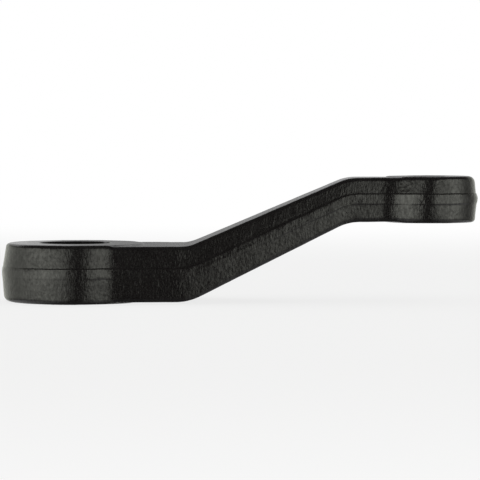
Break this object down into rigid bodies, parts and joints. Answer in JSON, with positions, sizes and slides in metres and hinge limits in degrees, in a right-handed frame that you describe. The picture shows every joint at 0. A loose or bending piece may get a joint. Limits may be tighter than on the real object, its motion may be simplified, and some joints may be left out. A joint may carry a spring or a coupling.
{
  "type": "pitman arm",
  "caption": "Forged drop steering arm: a tapered, serrated shaft boss at the low end and a tapered ball-stud boss at the high end, joined by a twice-bent, tapering arm.",
  "frame": {"origin": "on the axis of the serrated shaft bore, at the lower face of the shaft boss, where the steering shaft enters", "axes": "+Z along the shaft bore away from the entering shaft, towards its nut; +X along the arm towards the stud boss; +Y completes the right-handed frame"},
  "size_m": [0.205, 0.0632, 0.0537],
  "materials": {
    "black_paint": "semi-gloss black paint over a shot-blasted forged skin"
  },
  "bodies": {
    "root": {"pitman_arm": "black_paint"}
  },
  "joints": []
}
